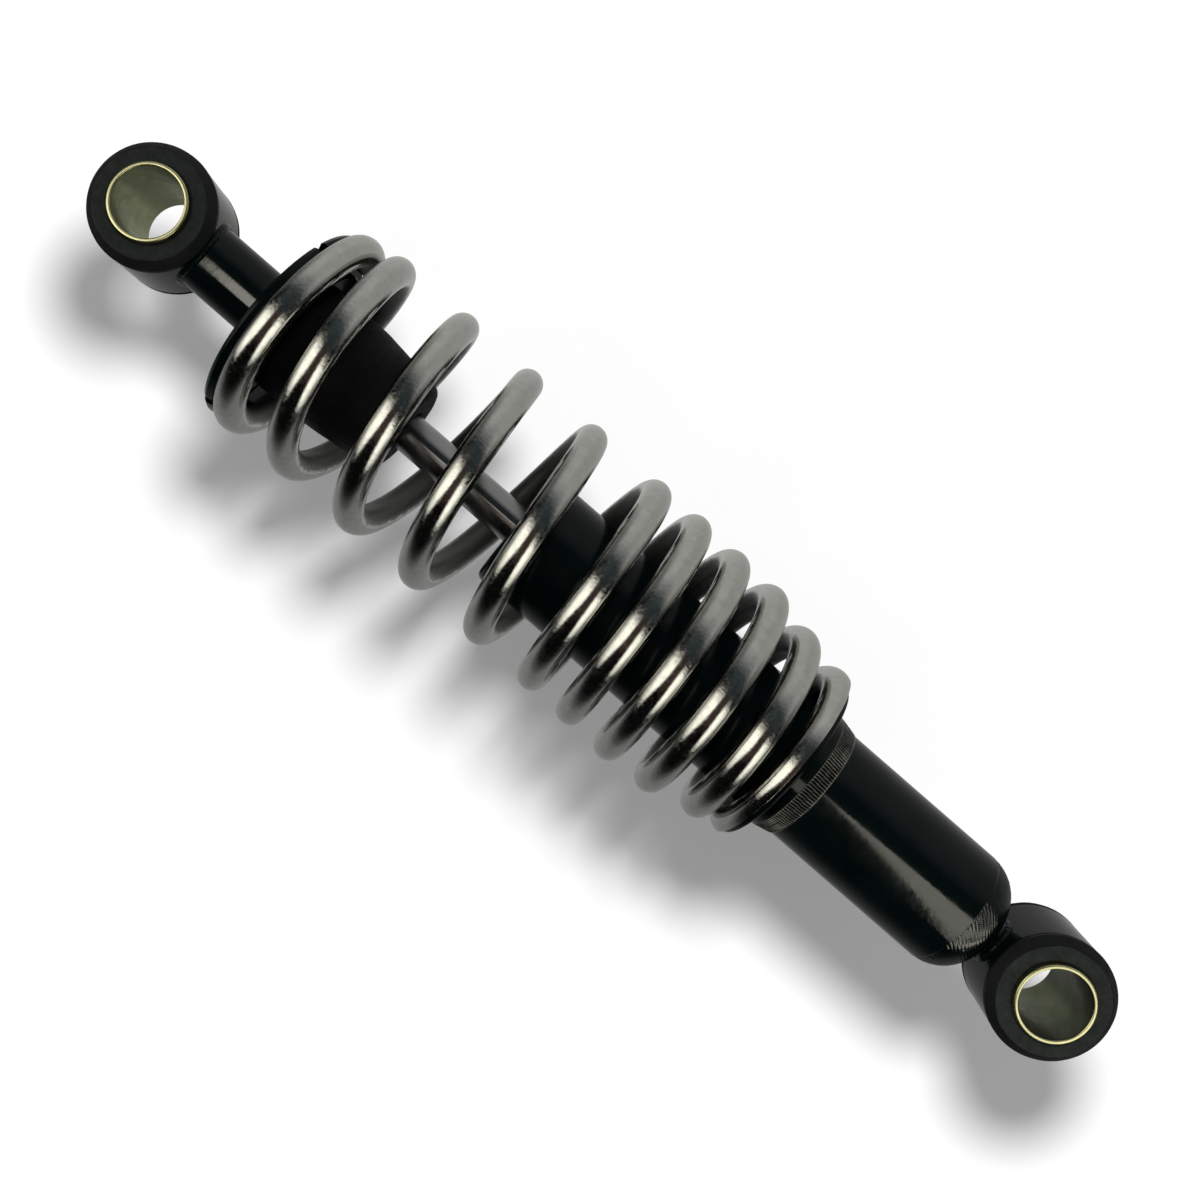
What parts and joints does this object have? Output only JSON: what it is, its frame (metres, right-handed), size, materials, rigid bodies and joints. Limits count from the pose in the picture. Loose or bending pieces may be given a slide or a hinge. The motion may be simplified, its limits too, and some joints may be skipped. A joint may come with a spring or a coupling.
{
  "type": "motorcycle rear shock absorber",
  "caption": "Telescopic damper with a two-rate chromed coil spring, rubber bump stop, split upper spring seat and a rubber-bushed eye with a steel sleeve at each end.",
  "frame": {"origin": "centre of the lower eye's bore, on the damper's axis", "axes": "+X along the damper from the lower eye to the upper eye, +Z along the lower eye's bore"},
  "size_m": [0.2996, 0.058, 0.0574],
  "materials": {
    "black_paint": "gloss black enamel",
    "spring_plate": "bright plated, slightly worn",
    "rod_chrome": "hard chrome, ground and polished",
    "black_rubber": "matte moulded rubber",
    "yellow_zinc": "yellow zinc plating",
    "plain_steel": "plain machined steel",
    "cast_aluminium": "die cast",
    "sintered_iron": "sintered",
    "bronze": "plain bearing bronze",
    "ptfe": "filled fluoropolymer band"
  },
  "bodies": {
    "damper_body": {"lower_eye": "black_paint", "lower_bush_rubber": "black_rubber", "lower_eye_weld": "black_paint", "lower_end_cap": "black_paint", "reservoir_tube": "black_paint", "lower_spring_seat": "black_paint", "seat_retainer_ring": "black_paint", "pressure_tube": "plain_steel", "base_valve_body": "cast_aluminium", "base_valve_disc": "plain_steel", "base_valve_rivet": "plain_steel", "rod_guide": "cast_aluminium", "guide_bushing": "bronze", "guide_o_ring": "black_rubber", "oil_seal": "black_rubber", "gland_washer": "plain_steel", "dust_wiper": "black_rubber"},
    "spring_carrier": {"coil_spring": "spring_plate", "upper_seat_half_a": "black_paint", "upper_seat_half_b": "black_paint", "bump_stop": "black_rubber"},
    "rod_assembly": {"piston_rod": "rod_chrome", "piston": "sintered_iron", "piston_ring": "ptfe", "compression_shim": "plain_steel", "rebound_shim": "plain_steel", "piston_nut": "plain_steel", "rebound_stop": "plain_steel", "upper_stem": "black_paint", "upper_eye": "black_paint", "upper_eye_weld": "black_paint", "upper_bush_rubber": "black_rubber"},
    "upper_sleeve": {"upper_bush_sleeve": "yellow_zinc"},
    "lower_sleeve": {"lower_bush_sleeve": "yellow_zinc"}
  },
  "joints": [
    {"name": "damper_travel", "type": "slide", "parent": "damper_body", "child": "spring_carrier", "axis": [-1, 0, 0], "range_m": [0, 0.045], "stiffness_N_per_m": 20600, "springref_m": -0.012, "deforming": ["coil_spring", "bump_stop"]},
    {"name": "rod_spin", "type": "hinge", "parent": "spring_carrier", "child": "rod_assembly", "pos_m": [0.2302, 0, 0], "axis": [1, 0, 0], "continuous": true},
    {"name": "upper_sleeve_twist", "type": "hinge", "parent": "rod_assembly", "child": "upper_sleeve", "pos_m": [0.27, 0, 0], "axis": [0, -0.1444, 0.9895], "range_deg": [-15, 15], "stiffness_Nm_per_rad": 2},
    {"name": "lower_sleeve_twist", "type": "hinge", "parent": "damper_body", "child": "lower_sleeve", "pos_m": [0, 0, 0], "axis": [0, 0, 1], "range_deg": [-15, 15], "stiffness_Nm_per_rad": 2}
  ]
}
